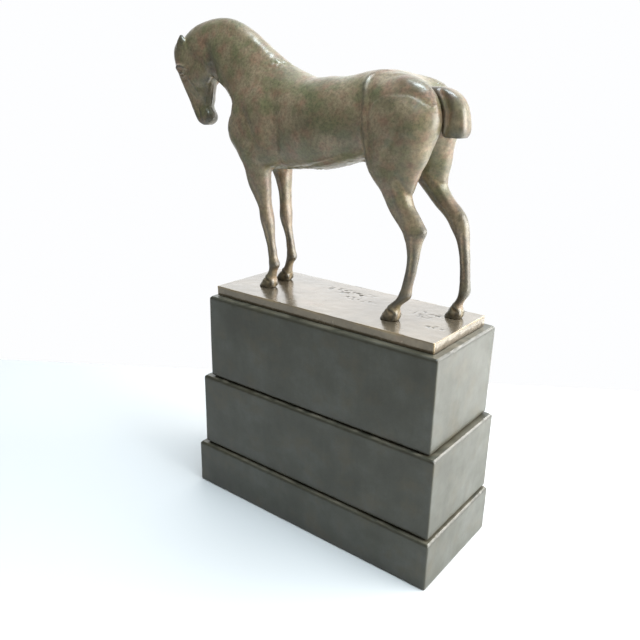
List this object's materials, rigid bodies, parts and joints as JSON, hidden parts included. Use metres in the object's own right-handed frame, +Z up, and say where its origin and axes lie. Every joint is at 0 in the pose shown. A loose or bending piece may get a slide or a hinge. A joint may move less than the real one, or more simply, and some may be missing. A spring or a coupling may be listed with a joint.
{
  "type": "horse statuette",
  "caption": "Standing bronze horse with an arched neck and a bobbed tail, on a bronze plate over a tall stepped base of dark stone blocks.",
  "frame": {"origin": "on the base's resting face, under the middle of the bronze plate", "axes": "+Z up, -X the way the horse faces, +Y toward the horse's right side"},
  "size_m": [0.2572, 0.084, 0.3373],
  "materials": {
    "horse_bronze": "brown patina over cast bronze, satin, waxed",
    "plate_bronze": "lighter brown patina, rubbed, satin",
    "base_stone": "dark grey-green stone, honed",
    "setting_bed": "dark setting compound",
    "fixing_steel": "plain zinc-grey steel"
  },
  "bodies": {
    "root": {"base_block_bottom": "base_stone", "base_block_middle": "base_stone", "base_block_top": "base_stone", "setting_bed_lower": "setting_bed", "setting_bed_upper": "setting_bed", "bronze_plate": "plate_bronze", "torso_casting": "horse_bronze", "head_and_neck_casting": "horse_bronze", "tail_casting": "horse_bronze", "left_fore_leg": "horse_bronze", "left_fore_joint_pin": "horse_bronze", "left_fore_hoof_screw": "fixing_steel", "right_fore_leg": "horse_bronze", "right_fore_joint_pin": "horse_bronze", "right_fore_hoof_screw": "fixing_steel", "left_hind_leg": "horse_bronze", "left_hind_joint_pin": "horse_bronze", "left_hind_hoof_screw": "fixing_steel", "right_hind_leg": "horse_bronze", "right_hind_joint_pin": "horse_bronze", "right_hind_hoof_screw": "fixing_steel", "left_neck_pin": "horse_bronze", "right_neck_pin": "horse_bronze", "tail_pin": "horse_bronze", "front_stud": "fixing_steel", "front_washer": "fixing_steel", "front_nut": "fixing_steel", "rear_stud": "fixing_steel", "rear_washer": "fixing_steel", "rear_nut": "fixing_steel"}
  },
  "joints": []
}
